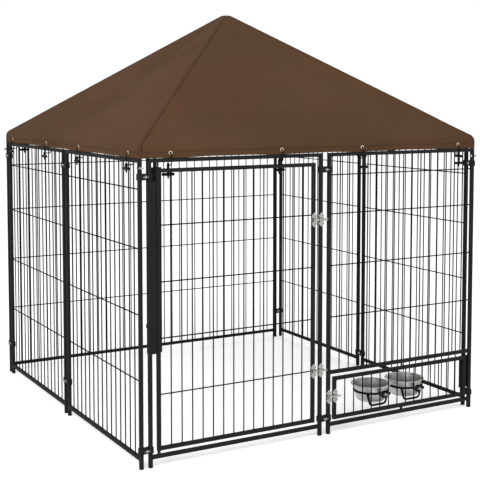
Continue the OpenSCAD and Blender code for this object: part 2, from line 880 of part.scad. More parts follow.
module holder_clips() {
    long = feed_pitch + wire_d + 2 * clip_lap;
    color(black) at_holders() difference() {
        translate([-long / 2, -wire_d / 2 - strap_t, -clip_h / 2]) cube([long, strap_t, clip_h]);
        rotate([90, 0, 0]) cylinder(d = screw_d + 2 * screw_clear, h = 4 * tube, center = true);
    }
}

module holder_bolts() {
    seat = wire_d / 2 + strap_t;
    color(zinc) at_holders() screw(seat, -seat - nut_h - screw_tail);
}

module holder_nuts() {
    color(zinc) at_holders() wing_nut(-wire_d / 2 - strap_t);
}

module bowl_left() {
    bowl(feed_axis - bowl_off);
}

module bowl_right() {
    bowl(feed_axis + bowl_off);
}

// Roof: a hollow pole stands in each corner post, bends inwards and meets the hub
module pole_core(d) {
    foot = panel_h - pole_depth;
    translate([rho_post, 0, foot]) cylinder(d = d, h = bend_z - foot);
    translate([rho_post - pole_bend, 0, bend_z]) rotate([90, 0, 0])
        rotate_extrude(angle = bend_turn) translate([pole_bend, 0]) circle(d = d);
    translate([bend_end[0], 0, bend_end[1]]) rotate([0, -90 + slope, 0]) cylinder(d = d, h = pole_len);
}

module roof_pole(side) {
    color(black) on_side(side) rotate([0, 0, -135]) difference() {
        pole_core(pole_d);
        pole_core(pole_d - 2 * pole_wall);
        translate([rho_post, 0, panel_h - pole_bolt_drop]) rotate([0, 90, 45])
            cylinder(d = screw_d + 2 * screw_clear, h = 2 * tube, center = true);
    }
}

module roof_pole_front_left() {
    roof_pole(0);
}

module roof_pole_front_right() {
    roof_pole(1);
}

module roof_pole_back_right() {
    roof_pole(2);
}

module roof_pole_back_left() {
    roof_pole(3);
}

module roof_hub() {
    top = apex_h - canopy_t - canopy_gap;
    spigot_d = pole_d - 2 * pole_wall - 2 * plug_gap;
    color([0.1, 0.1, 0.1]) difference() {
        union() {
            translate([0, 0, top - hub_h]) cylinder(d = hub_d, h = hub_h);
            for (a = [45 : 90 : 315]) rotate([0, 0, a]) translate([0, 0, axis_top]) rotate([0, 90 + slope, 0]) {
                cylinder(d = pole_d, h = arm_len);
                cylinder(d = spigot_d, h = arm_len + spigot_len);
            }
        }
        translate([0, 0, top]) cylinder(d = 4 * hub_d, h = 4 * hub_d);
    }
}

module canopy_block(off, z0, z1) {
    for_edge = mirrored(canopy_edge(off, z0, z1));
    intersection() {
        rotate([90, 0, 0]) linear_extrude(run_w * 2, center = true) polygon(for_edge);
        rotate([90, 0, 90]) linear_extrude(run_w * 2, center = true) polygon(for_edge);
    }
}

module canopy() {
    color([0.4, 0.29, 0.22]) difference() {
        canopy_block(canopy_in + canopy_t, hem_z, apex_h);
        canopy_block(canopy_in, hem_z - 5, apex_h - canopy_t);
        at_grommets() cylinder(d = grommet_hole + 2 * barrel_wall + 0.4, h = 8 * canopy_t, center = true);
    }
}

module at_grommets() {
    for (side = [0 : 3]) on_side(side) for (u = cord_places(side)) {
        translate([u, -valance - canopy_t / 2, grommet_z]) rotate([90, 0, 0]) children();
    }
}

module grommets() {
    color([0.69, 0.63, 0.5]) at_grommets() difference() {
        union() {
            for (s = [-1, 1]) translate([0, 0, s * (canopy_t + grommet_t + 0.1) / 2])
                cylinder(d = grommet_d, h = grommet_t, center = true);
            cylinder(d = grommet_hole + 2 * barrel_wall, h = canopy_t + grommet_t, center = true);
        }
        cylinder(d = grommet_hole, h = 10 * canopy_t, center = true);
    }
}

// An elastic loop runs over the rail through its grommet, and its ends meet in the toggle
module at_cords() {
    for (side = [0 : 3]) on_side(side) for (i = [0 : 3]) {
        $bar_z = bar_z[side];
        translate([cord_places(side)[i], mid_y, 0]) mirror([0, toggle_inside(side, i) ? 1 : 0, 0]) children();
    }
}

module bungee_loops() {
    back_low = cord_z + cord_turn;
    color([0.05, 0.05, 0.05]) at_cords() {
        translate([0, -cord_out, neck_top]) cylinder(d = cord_d, h = loop_z - neck_top);
        translate([0, 0, loop_z]) rotate([90, 0, 90]) rotate_extrude(angle = 180)
            translate([cord_out, 0]) circle(d = cord_d);
        translate([0, cord_out, back_low]) cylinder(d = cord_d, h = loop_z - back_low);
        translate([0, cord_out - cord_turn, back_low]) rotate([90, 0, 90]) rotate([0, 0, -90])
            rotate_extrude(angle = 90) translate([cord_turn, 0]) circle(d = cord_d);
        translate([0, cord_out - cord_turn, cord_z]) rotate([90, 0, 0])
            cylinder(d = cord_d, h = 2 * cord_out - cord_turn - neck_d / 2);
    }
}

module toggles() {
    color([0.06, 0.06, 0.06]) at_cords() translate([0, -cord_out, $bar_z]) {
        cylinder(d = neck_d, h = neck_top - $bar_z);
        rotate([0, 90, 0]) cylinder(d = toggle_d, h = toggle_w - toggle_d, center = true);
        for (s = [-1, 1]) translate([s * (toggle_w - toggle_d) / 2, 0, 0]) sphere(d = toggle_d);
        translate([0, 0, -toggle_d / 2 - tip_h + 1]) cylinder(d1 = tip_d, d2 = toggle_d, h = toggle_d / 2 + tip_h - 1);
    }
}

door_panel_frame();
feeder_panel_frame();
feeder_panel_mesh();
right_front_frame();
right_front_mesh();
right_rear_frame();
right_rear_mesh();
back_right_frame();
back_right_mesh();
back_left_frame();
back_left_mesh();
left_rear_frame();
left_rear_mesh();
left_front_frame();
left_front_mesh();
foot_caps();
post_caps();
clamp_outer_plates();
clamp_inner_plates();
clamp_bolts();
wing_nuts();
door_frame();
door_mesh();
door_pivot_pins();
door_caps();
door_stop_plate();
door_latch_housings();
door_latch_keepers();
door_bolt_upper();
door_bolt_lower();
feeder_frame();
feeder_mesh();
feeder_pivot_pins();
feeder_caps();
feeder_stop_plate();
feeder_latch_housing();
feeder_latch_keeper();
feeder_bolt();
bowl_holder_left();
bowl_holder_right();
holder_clips();
holder_bolts();
holder_nuts();
bowl_left();
bowl_right();
roof_pole_front_left();
roof_pole_front_right();
roof_pole_back_right();
roof_pole_back_left();
roof_hub();
pole_bolts();
canopy();
grommets();
bungee_loops();
toggles();
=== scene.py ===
"""Looks of the outdoor dog kennel run: camera, studio, finishes, the sewn canopy and the small fittings."""

import itertools
import json
import math

import bmesh
import bpy
from mathutils import Matrix, Vector

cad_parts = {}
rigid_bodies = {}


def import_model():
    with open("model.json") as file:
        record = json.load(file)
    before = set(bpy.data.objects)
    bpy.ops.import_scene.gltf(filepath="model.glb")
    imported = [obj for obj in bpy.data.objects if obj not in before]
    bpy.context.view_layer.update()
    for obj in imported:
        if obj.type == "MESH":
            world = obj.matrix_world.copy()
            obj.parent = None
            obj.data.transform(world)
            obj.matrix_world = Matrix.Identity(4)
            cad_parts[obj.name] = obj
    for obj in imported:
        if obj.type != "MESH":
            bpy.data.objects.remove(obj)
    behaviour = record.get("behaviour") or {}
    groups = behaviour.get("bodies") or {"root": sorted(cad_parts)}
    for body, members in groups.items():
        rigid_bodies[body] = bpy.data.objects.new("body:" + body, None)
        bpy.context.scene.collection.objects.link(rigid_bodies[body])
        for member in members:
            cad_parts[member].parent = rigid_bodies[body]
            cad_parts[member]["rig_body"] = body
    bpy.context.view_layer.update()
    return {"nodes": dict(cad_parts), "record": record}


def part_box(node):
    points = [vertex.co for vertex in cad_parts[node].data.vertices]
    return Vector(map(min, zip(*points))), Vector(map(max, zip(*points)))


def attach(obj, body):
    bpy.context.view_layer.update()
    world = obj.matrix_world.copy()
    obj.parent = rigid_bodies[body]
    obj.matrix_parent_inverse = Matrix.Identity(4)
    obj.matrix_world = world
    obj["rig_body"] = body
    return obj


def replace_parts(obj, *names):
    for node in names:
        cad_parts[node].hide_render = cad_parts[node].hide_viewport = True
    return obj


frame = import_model()
nodes = frame["nodes"]
scene = bpy.context.scene
scene.view_settings.view_transform = "Standard"

# Sizes of the run in metres, as in the part's source
HALF = 0.705  # middle of the run to the outside of its posts
TUBE = 0.0127
MID = 0.69865  # middle of the run to the middle of its tubes
APEX = 1.541
HEM_Z = 1.0150
WIRE = 0.0044
POST_GAP = 0.020  # between the posts of two sides at a corner
PAIR_GAP = 0.024  # between the two panels of a side
PANEL_W = 0.67665
LOW_TOP = 0.0407  # top of a panel's lowest rail
HEAD_Z = 1.0013  # underside of a panel's top rail
CORD_R = 0.002
CORD_OUT = 0.0125  # middle of a rail to the cord beside it
PI = math.pi


# Camera and studio

WORLD_LIGHT = 0.62  # light from all round
FLOOR_GREY = 0.86
FLOOR_GLOW = 0.52  # lifts the floor to white where it is seen
KEY_POWER, FILL_POWER = 210, 60


def photo_camera():
    """The photo's view, solved from the run's straight edges, with about half of the photo's shift."""
    data = bpy.data.cameras.new("photo_camera")
    data.sensor_width = 36.0
    data.lens = 78.30
    data.shift_y = -0.15
    data.clip_end = 100.0
    cam = bpy.data.objects.new("photo_camera", data)
    cam.location = (-2.0606, -3.7523, 1.2151)
    cam.rotation_euler = (math.radians(90 - 3.95), 0, math.radians(-29.55))
    scene.collection.objects.link(cam)
    scene.camera = cam


def soft_lamp(name, place, target, width, height, power):
    data = bpy.data.lights.new(name, "AREA")
    data.shape = "RECTANGLE"
    data.size = width
    data.size_y = height
    data.energy = power
    lamp = bpy.data.objects.new(name, data)
    lamp.location = place
    lamp.rotation_euler = (Vector(target) - Vector(place)).to_track_quat("-Z", "Y").to_euler()
    scene.collection.objects.link(lamp)


def seen_as_white(tree):
    """One where a camera, glossy or transmission ray looks at the studio, and nought for its light."""
    path = tree.nodes.new("ShaderNodeLightPath")
    first = tree.nodes.new("ShaderNodeMath")
    first.operation = "MAXIMUM"
    tree.links.new(path.outputs["Is Camera Ray"], first.inputs[0])
    tree.links.new(path.outputs["Is Glossy Ray"], first.inputs[1])
    both = tree.nodes.new("ShaderNodeMath")
    both.operation = "MAXIMUM"
    tree.links.new(first.outputs[0], both.inputs[0])
    tree.links.new(path.outputs["Is Transmission Ray"], both.inputs[1])
    return both.outputs[0]


def studio():
    """White all round, two soft lamps at the front, and a floor that takes a faint shadow."""
    world = bpy.data.worlds.new("white_studio")
    scene.world = world
    world.use_nodes = True
    tree = world.node_tree
    tree.nodes.clear()
    light = tree.nodes.new("ShaderNodeBackground")
    light.inputs["Color"].default_value = (1, 1, 1, 1)
    light.inputs["Strength"].default_value = WORLD_LIGHT
    seen = tree.nodes.new("ShaderNodeBackground")
    seen.inputs["Color"].default_value = (1, 1, 1, 1)
    seen.inputs["Strength"].default_value = 1.0
    mix = tree.nodes.new("ShaderNodeMixShader")
    out = tree.nodes.new("ShaderNodeOutputWorld")
    tree.links.new(seen_as_white(tree), mix.inputs[0])
    tree.links.new(light.outputs[0], mix.inputs[1])
    tree.links.new(seen.outputs[0], mix.inputs[2])
    tree.links.new(mix.outputs[0], out.inputs["Surface"])

    soft_lamp("key_lamp", (-4.2, -3.0, 4.2), (0, 0, 0.6), 3.0, 3.0, KEY_POWER)
    soft_lamp("fill_lamp", (3.6, -4.2, 2.6), (0, 0, 0.6), 3.0, 3.0, FILL_POWER)

    floor_mesh = bpy.data.meshes.new("studio_floor")
    bm = bmesh.new()
    bmesh.ops.create_grid(bm, x_segments=2, y_segments=2, size=40.0)
    bm.to_mesh(floor_mesh)
    bm.free()
    floor = bpy.data.objects.new("studio_floor", floor_mesh)
    scene.collection.objects.link(floor)
    mat = bpy.data.materials.new("studio_white")
    mat.use_nodes = True
    tree = mat.node_tree
    tree.nodes.clear()
    matt = tree.nodes.new("ShaderNodeBsdfDiffuse")
    matt.inputs["Color"].default_value = (FLOOR_GREY, FLOOR_GREY, FLOOR_GREY, 1)
    glow = tree.nodes.new("ShaderNodeEmission")
    glow.inputs["Color"].default_value = (1, 1, 1, 1)
    level = tree.nodes.new("ShaderNodeMath")
    level.operation = "MULTIPLY"
    level.inputs[1].default_value = FLOOR_GLOW
    add = tree.nodes.new("ShaderNodeAddShader")
    out = tree.nodes.new("ShaderNodeOutputMaterial")
    tree.links.new(seen_as_white(tree), level.inputs[0])
    tree.links.new(level.outputs[0], glow.inputs["Strength"])
    tree.links.new(matt.outputs[0], add.inputs[0])
    tree.links.new(glow.outputs[0], add.inputs[1])
    tree.links.new(add.outputs[0], out.inputs["Surface"])
    floor_mesh.materials.append(mat)


# Finishes

THREAD, STITCH = 0.0011, 0.0042  # one thread of the weave and one stitch along a seam
HIP_STITCH, HEM_STITCH, STITCH_W = 0.009, 0.019, 0.0010  # rows from the hip and the hem, and their half width
# How far up from the hem the painted shade on the hem's lap reaches
HEM_SHADE = 0.021
# Middle and half width of the painted shade line along each hip's fold
FELL_EDGE, FELL_EDGE_W = 0.0006, 0.0007
BRAID_TURNS, BRAID_STRANDS = 46, 3


class Finish:
    """A material's node tree with short names for the nodes that the finishes use."""

    def __init__(self, name, roughness, metallic=0.0):
        self.mat = bpy.data.materials.new(name)
        self.mat.use_nodes = True
        self.tree = self.mat.node_tree
        self.bsdf = self.tree.nodes["Principled BSDF"]
        self.bsdf.inputs["Roughness"].default_value = roughness
        self.bsdf.inputs["Metallic"].default_value = metallic
        self.where = self.tree.nodes.new("ShaderNodeTexCoord")

    def link(self, a, b):
        self.tree.links.new(a, b)

    def noise(self, scale, detail=3.0, rough=0.5, vector=None):
        n = self.tree.nodes.new("ShaderNodeTexNoise")
        n.inputs["Scale"].default_value = scale
        n.inputs["Detail"].default_value = detail
        n.inputs["Roughness"].default_value = rough
        self.link(vector or self.where.outputs["Object"], n.inputs["Vector"])
        return n.outputs["Fac"]

    def cells(self, scale):
        n = self.tree.nodes.new("ShaderNodeTexVoronoi")
        n.inputs["Scale"].default_value = scale
        self.link(self.where.outputs["Object"], n.inputs["Vector"])
        return n.outputs["Color"]

    def stretched(self, scale, place=(0, 0, 0), coords="Object"):
        n = self.tree.nodes.new("ShaderNodeMapping")
        n.inputs["Scale"].default_value = scale
        n.inputs["Location"].default_value = place
        self.link(self.where.outputs[coords], n.inputs["Vector"])
        return n.outputs["Vector"]

    def math(self, operation, a, b=None, clamp=False):
        n = self.tree.nodes.new("ShaderNodeMath")
        n.operation = operation
        n.use_clamp = clamp
        for socket, value in zip(n.inputs, (a, b)):
            if value is None:
                continue
            if isinstance(value, (int, float)):
                socket.default_value = value
            else:
                self.link(value, socket)
        return n.outputs[0]

    def wave(self, value, pitch):
        """A sine along a value, one turn in each pitch."""
        return self.math("SINE", self.math("MULTIPLY", value, 2 * PI / pitch))

    def band(self, value, middle, half):
        """One where a value lies within half of a middle, and nought elsewhere."""
        return self.math("LESS_THAN", self.math("ABSOLUTE", self.math("SUBTRACT", value, middle)), half)

    def ramp(self, fac, *stops):
        n = self.tree.nodes.new("ShaderNodeValToRGB")
        while len(n.color_ramp.elements) < len(stops):
            n.color_ramp.elements.new(0.5)
        for element, (place, colour) in zip(n.color_ramp.elements, stops):
            element.position = place
            element.color = (*colour, 1)
        self.link(fac, n.inputs["Fac"])
        return n.outputs["Color"]

    def levels(self, fac, low, high):
        n = self.tree.nodes.new("ShaderNodeMapRange")
        n.inputs["To Min"].default_value = low
        n.inputs["To Max"].default_value = high
        self.link(fac, n.inputs["Value"])
        return n.outputs["Result"]

    def split(self, vector):
        n = self.tree.nodes.new("ShaderNodeSeparateXYZ")
        self.link(vector, n.inputs[0])
        return n.outputs

    def own(self, name):
        n = self.tree.nodes.new("ShaderNodeAttribute")
        n.attribute_name = name
        return n.outputs["Fac"]

    def over(self, fac, below, above):
        n = self.tree.nodes.new("ShaderNodeMix")
        n.data_type = "RGBA"
        self.link(fac, n.inputs[0])
        for socket, value in ((n.inputs[6], below), (n.inputs[7], above)):
            if isinstance(value, tuple):
                socket.default_value = (*value, 1)
            else:
                self.link(value, socket)
        return n.outputs[2]

    def colour(self, socket):
        self.link(socket, self.bsdf.inputs["Base Color"])

    def roughness(self, socket):
        self.link(socket, self.bsdf.inputs["Roughness"])

    def bump(self, height, distance, strength=1.0):
        n = self.tree.nodes.new("ShaderNodeBump")
        n.inputs["Distance"].default_value = distance
        n.inputs["Strength"].default_value = strength
        self.link(height, n.inputs["Height"])
        self.link(n.outputs["Normal"], self.bsdf.inputs["Normal"])

    def fixed(self, **values):
        for name, value in values.items():
            self.bsdf.inputs[name.replace("_", " ")].default_value = value


def powder_coat(name, low, high, gloss, shine):
    f = Finish(name, gloss)
    cloud = f.noise(9.0, 4.0)
    dust = f.noise(140.0, 5.0, 0.7)
    mixed = f.math("ADD", f.math("MULTIPLY", cloud, 0.65), f.math("MULTIPLY", dust, 0.35))
    f.colour(f.ramp(mixed, (0.30, low), (0.72, high)))
    f.roughness(f.levels(dust, gloss - 0.08, gloss + 0.10))
    f.bump(f.noise(760.0, 2.0), 0.00012, 0.6)
    f.fixed(Specular_IOR_Level=shine)
    return f.mat


def moulded_plastic():
    f = Finish("moulded_black_plastic", 0.5)
    grain = f.noise(1400.0, 2.0)
    f.colour(f.ramp(f.noise(55.0, 3.0), (0.3, (0.0045, 0.0045, 0.0046)), (0.75, (0.0090, 0.0090, 0.0090))))
    f.roughness(f.levels(grain, 0.42, 0.6))
    f.bump(grain, 0.00008, 0.5)
    f.fixed(Specular_IOR_Level=0.06)
    return f.mat


def zinc_plating(name, low, high):
    f = Finish(name, 0.4, 0.85)
    spangle = f.split(f.cells(420.0))[0]
    dull = f.noise(70.0, 4.0)
    f.colour(f.ramp(f.math("ADD", f.math("MULTIPLY", spangle, 0.35), f.math("MULTIPLY", dull, 0.65)),
                    (0.2, low), (0.8, high)))
    f.roughness(f.levels(dull, 0.30, 0.52))
    f.bump(f.noise(900.0, 3.0), 0.00006, 0.5)
    return f.mat


def spun_steel(name, centre, low, high, gloss):
    """Stainless steel, brushed in rings round the bowl's own axis."""
    f = Finish(name, gloss, 1.0)
    x, y, z = f.split(f.stretched((1, 1, 1), (-centre[0], -centre[1], -centre[2])))
    radius = f.math("SQRT", f.math("ADD", f.math("MULTIPLY", x, x), f.math("MULTIPLY", y, y)))
    join = f.tree.nodes.new("ShaderNodeCombineXYZ")
    f.link(f.math("MULTIPLY", radius, 900.0), join.inputs[0])
    f.link(f.math("MULTIPLY", z, 900.0), join.inputs[1])
    rings = f.noise(1.0, 3.0, 0.6, join.outputs[0])
    smear = f.noise(38.0, 4.0)
    f.colour(f.ramp(smear, (0.25, low), (0.8, high)))
    f.roughness(f.math("ADD", f.levels(rings, gloss - 0.07, gloss + 0.07), f.levels(smear, -0.03, 0.06)))
    f.bump(rings, 0.00004, 0.5)
    return f.mat


def pale_brass():
    f = Finish("pale_brass", 0.35, 0.9)
    f.colour(f.ramp(f.noise(260.0, 4.0), (0.25, (0.42, 0.33, 0.20)), (0.8, (0.62, 0.54, 0.40))))
    f.roughness(f.levels(f.noise(500.0, 3.0), 0.28, 0.48))
    return f.mat


def braided_cord():
    f = Finish("braided_elastic", 0.75)
    u, v, _ = f.split(f.where.outputs["UV"])
    along = f.math("MULTIPLY", u, 2 * PI * BRAID_TURNS)
    around = f.math("MULTIPLY", v, 2 * PI * BRAID_STRANDS)
    one = f.math("SINE", f.math("ADD", along, around))
    two = f.math("SINE", f.math("SUBTRACT", along, around))
    strands = f.levels(f.math("MAXIMUM", one, two), 0.0, 1.0)
    # Darker between the strands: painted shade in the braid's grooves
    f.colour(f.ramp(strands, (0.1, (0.003, 0.003, 0.003)), (0.9, (0.011, 0.011, 0.0115))))
    f.bump(strands, 0.0003, 0.8)
    f.fixed(Specular_IOR_Level=0.05)
    return f.mat


def canopy_cloth():
    """Coated polyester: plain weave in the cloth's own metres, felled seams on the hips, a stitched hem, with
    painted shade on the laps and along the hips' fold.
    """
    f = Finish("brown_canopy_cloth", 0.8)
    u, v, _ = f.split(f.where.outputs["UV"])
    weave = f.levels(f.math("MULTIPLY", f.wave(u, THREAD), f.wave(v, THREAD)), 0.0, 1.0)
    fade = f.noise(2.6, 4.0, 0.55)
    slub = f.noise(1.0, 3.0, 0.6, f.stretched((60, 420, 1), coords="UV"))
    tone = f.math("ADD", f.math("MULTIPLY", fade, 0.6),
                  f.math("ADD", f.math("MULTIPLY", slub, 0.25), f.math("MULTIPLY", weave, 0.15)))
    warm = f.ramp(tone, (0.38, (0.089, 0.0424, 0.0230)), (0.62, (0.112, 0.0548, 0.0304)))
    olive = f.ramp(tone, (0.38, (0.077, 0.0424, 0.0222)), (0.62, (0.097, 0.0545, 0.0284)))
    cloth = f.over(f.levels(f.noise(3.7, 2.0, 0.4), -0.6, 1.6), warm, olive)
    hip = f.own("hip_distance")
    drop = f.own("hem_distance")
    dash_v = f.math("GREATER_THAN", f.wave(v, STITCH), -0.45)
    dash_u = f.math("GREATER_THAN", f.wave(u, STITCH), -0.45)
    hip_row = f.math("MULTIPLY", f.band(hip, HIP_STITCH, STITCH_W), dash_v)
    hem_row = f.math("MULTIPLY", f.band(drop, HEM_STITCH, STITCH_W), dash_u)
    stitch = f.math("MAXIMUM", hip_row, hem_row)
    lap = f.math("MAXIMUM", f.math("LESS_THAN", hip, HIP_LAP), f.math("LESS_THAN", drop, HEM_SHADE))
    edge = f.band(hip, FELL_EDGE, FELL_EDGE_W)
    # Painted shade: the laps of the hip seams and the hem drawn a tenth darker
    lap_painted_shade = f.over(f.math("MULTIPLY", lap, 0.10), cloth, (0.064, 0.032, 0.0175))
    # Painted shade: a thin dark line along the fold of each hip seam
    seam_fold_painted_shade = f.over(f.math("MULTIPLY", edge, 0.3), lap_painted_shade, (0.032, 0.017, 0.010))
    f.colour(f.over(f.math("MULTIPLY", stitch, 0.7), seam_fold_painted_shade, (0.045, 0.024, 0.014)))
    f.roughness(f.levels(slub, 0.78, 0.94))
    height = f.math("ADD", f.math("MULTIPLY", weave, 0.25),
                    f.math("SUBTRACT", f.math("MULTIPLY", lap, 0.9), f.math("MULTIPLY", stitch, 0.8)))
    f.bump(height, 0.0006, 0.7)
    f.fixed(Specular_IOR_Level=0.03, Sheen_Weight=0.01, Sheen_Roughness=0.5)
    return f.mat


# Ways of making a piece

def put(name, bm, body, material, crease=35):
    """Makes a bmesh a piece that rides on a body, smooth but for edges sharper than crease degrees."""
    mesh = bpy.data.meshes.new(name)
    bm.to_mesh(mesh)
    bm.free()
    mesh.shade_smooth()
    if crease:
        mesh.set_sharp_from_angle(angle=math.radians(crease))
    mesh.materials.append(material)
    obj = bpy.data.objects.new(name, mesh)
    scene.collection.objects.link(obj)
    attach(obj, body)
    return obj


def copies(form, places):
    """A bmesh that holds one form at each of its places."""
    mesh = bpy.data.meshes.new("form")
    form.to_mesh(mesh)
    form.free()
    bm = bmesh.new()
    for place in places:
        old = len(bm.verts)
        bm.from_mesh(mesh)
        bm.verts.ensure_lookup_table()
        bmesh.ops.transform(bm, matrix=place, verts=bm.verts[old:])
    bpy.data.meshes.remove(mesh)
    return bm


def joined_islands(node):
    """Boxes of a node's separate solids, as (lowest, highest) corners."""
    bm = bmesh.new()
    bm.from_mesh(nodes[node].data)
    bmesh.ops.remove_doubles(bm, verts=bm.verts, dist=1e-5)
    found, seen = [], set()
    for start in bm.verts:
        if start.index in seen:
            continue
        seen.add(start.index)
        pile, lo, hi = [start], start.co.copy(), start.co.copy()
        while pile:
            at = pile.pop()
            lo = Vector(map(min, lo, at.co))
            hi = Vector(map(max, hi, at.co))
            for e in at.link_edges:
                other = e.other_vert(at)
                if other.index not in seen:
                    seen.add(other.index)
                    pile.append(other)
        found.append((lo, hi))
    bm.free()
    return found


def edges_of(verts):
    return list({e for v in verts for e in v.link_edges})


def rounded(bm, edges, width, segments):
    bmesh.ops.bevel(bm, geom=edges, offset=width, offset_type="OFFSET", affect="EDGES", segments=segments,
                    profile=0.5, material=-1)


def turned(bm, outline, axis, steps):
    """Spins an outline a whole turn about an axis through the origin, and closes it."""
    bmesh.ops.spin(bm, geom=outline, axis=axis, cent=(0, 0, 0), angle=2 * PI, steps=steps, use_merge=True)
    bmesh.ops.remove_doubles(bm, verts=bm.verts, dist=1e-6)


def side_number(turn):
    """Which side a turn about Z leads to: front 0, right 1, back 2, left 3."""
    return round(math.atan2(turn[1][0], turn[0][0]) / (PI / 2)) % 4


def side_turn(x, y):
    """The turn about Z that takes the front side to the side where (x, y) lies."""
    if abs(y) >= abs(x):
        return Matrix.Identity(4) if y < 0 else Matrix.Rotation(PI, 4, "Z")
    return Matrix.Rotation(PI / 2 if x > 0 else -PI / 2, 4, "Z")


def eased(node, material, width, segments=2, angle=32):
    """The node's own solid with its edges eased, in place of the node."""
    body = nodes[node]["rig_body"]
    bm = bmesh.new()
    bm.from_mesh(nodes[node].data)
    bmesh.ops.remove_doubles(bm, verts=bm.verts, dist=1e-5)
    bmesh.ops.dissolve_limit(bm, angle_limit=math.radians(0.8), verts=bm.verts, edges=bm.edges)
    obj = put(node + "_eased", bm, body, material, crease=angle)
    bevel = obj.modifiers.new("eased_edges", "BEVEL")
    bevel.width = width
    bevel.segments = segments
    bevel.limit_method = "ANGLE"
    bevel.angle_limit = math.radians(angle)
    bevel.use_clamp_overlap = True
    bevel.harden_normals = True
    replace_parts(obj, node)
    return obj


# Canopy

BEND_R, BEND_Z, BEND_TURN = 0.024, 1.040, math.radians(63.765)  # the poles' bend at the eave
EAVE_Z = 1.0662
CLOTH_OFF = 0.00565  # a pole's centre line to the cloth
CLOTH_T, LAP_T, LAP_LIFT = 0.0008, 0.0005, 0.0006
HIP_LAP, HEM_LAP = 0.0110, 0.0215
CAP_RIM = 0.0079  # cloth from its first ring to the upper ends of the hip seams
SLOPE_OUT, SLOPE_UP = 0.572, 0.820  # which way the slope faces

# Depths of the cloth's sag, waves and folds
SAG, LONG_WAVE, PUCKER, CREASE, PULL, GATHER = 0.0065, 0.0042, 0.0018, 0.0036, 0.0014, 0.0011
HEM_RISE, HEM_RIPPLE, HEM_SWAY, HEM_FLUTTER = 0.0022, 0.0005, 0.0018, 0.0007


def canopy_profile():
    """Half width and height of the cloth's rings, from the flat top down slope and eave to the hem."""
    bend = []
    for i in range(11):
        a = BEND_TURN * i / 10
        across, up = math.cos(a), math.sin(a) / math.sqrt(2)
        size = math.hypot(across, up)
        bend.append((MID - BEND_R * (1 - math.cos(a)) / math.sqrt(2) + CLOTH_OFF * across / size,
                     BEND_Z + BEND_R * math.sin(a) + CLOTH_OFF * up / size))
    eave = bend[-1]
    top = (0.0170, APEX - 0.0042)
    rings = [(0.0100, APEX - 0.0006), (0.0138, APEX - 0.0018)]
    steps = 56
    for i in range(steps):
        t = i / steps
        rings.append((top[0] + (eave[0] - top[0]) * t, top[1] + (eave[1] - top[1]) * t))
    rings += bend[::-1]
    for i in range(1, 8):
        rings.append((bend[0][0], BEND_Z - (BEND_Z - HEM_Z) * i / 7))
    return rings


def smooth_bump(x, width):
    """One at nought, falling off to both sides within about twice the width."""
    return math.exp(-(x / width) ** 2)


def cloth_move(u, w, z, side, pulls):
    """How far the cloth stands from its stretched form, as (outwards, up); pulls are this side's grommets."""
    hip = w - abs(u)
    t = min(1.0, max(0.0, (APEX - z) / (APEX - EAVE_Z)))
    s = u / w
    slack = SAG * (1 - s * s) ** 1.3 * math.sin(PI * t) ** 1.1
    slack += LONG_WAVE * math.sin(2 * PI * (s + 0.35 + 0.31 * side)) * math.sin(PI * t) ** 0.8 * (1 - s * s)
    pucker = math.sin(2 * PI * (u - 0.3 * (z - 1.1)) / 0.052) + 0.6 * math.sin(2 * PI * u / 0.033 + 1.1)
    slack += PUCKER * pucker * smooth_bump(u - 0.17, 0.13) * smooth_bump(z - 1.112, 0.028)
    near_eave = smooth_bump(z - 1.066, 0.045)
    for g in pulls:
        slack += PULL * smooth_bump(u - g, 0.045) * smooth_bump(z - 1.062, 0.060)
    slack += (GATHER * math.sin(2 * PI * hip / 0.040) * math.exp(-hip / 0.060)
              * near_eave * min(1.0, hip / 0.012))
    fold = (u + 0.16) * 0.45 + (z - 1.098) * 1.0
    slack += CREASE * smooth_bump(fold, 0.016) * smooth_bump(u + 0.16, 0.075) * (side == 0)
    out, up = -SLOPE_OUT * slack, -SLOPE_UP * slack
    low = min(1.0, max(0.0, (BEND_Z - z) / (BEND_Z - HEM_Z)))
    if low > 0:
        marks = sorted([-w, *pulls, w])
        left = max(m for m in marks if m <= u + 1e-9)
        right = min((m for m in marks if m > u + 1e-9), default=w)
        part = (u - left) / max(right - left, 1e-6)
        wave = (1 - math.cos(2 * PI * part)) / 2
        wide = min(1.0, (right - left) / 0.35)
        up += low * wide * (HEM_RISE * wave + HEM_RIPPLE * math.sin(38 * u))
        sway = HEM_SWAY * math.sin(21 * u + 0.6) * wave * wide
        out += low * (sway + HEM_FLUTTER * math.sin(57 * u) * min(1.0, hip / 0.03))
    return out, up


def second_layer(sheet, name, material, wanted):
    """The sheet's cloth where it is turned up or felled: a copy of those faces, laid on its outside."""
    bm = sheet.copy()
    bm.normal_update()
    hip, drop = (bm.verts.layers.float[layer] for layer in ("hip_distance", "hem_distance"))
    for v in bm.verts:
        v.co += v.normal * LAP_LIFT
    others = [f for f in bm.faces if len(f.verts) > 4 or not all(wanted(v[hip], v[drop]) for v in f.verts)]
    bmesh.ops.delete(bm, geom=others, context="FACES")
    obj = put(name, bm, "run", material, crease=0)
    wall = obj.modifiers.new("lap_thickness", "SOLIDIFY")
    wall.thickness = LAP_T
    wall.offset = 0.0
    return obj


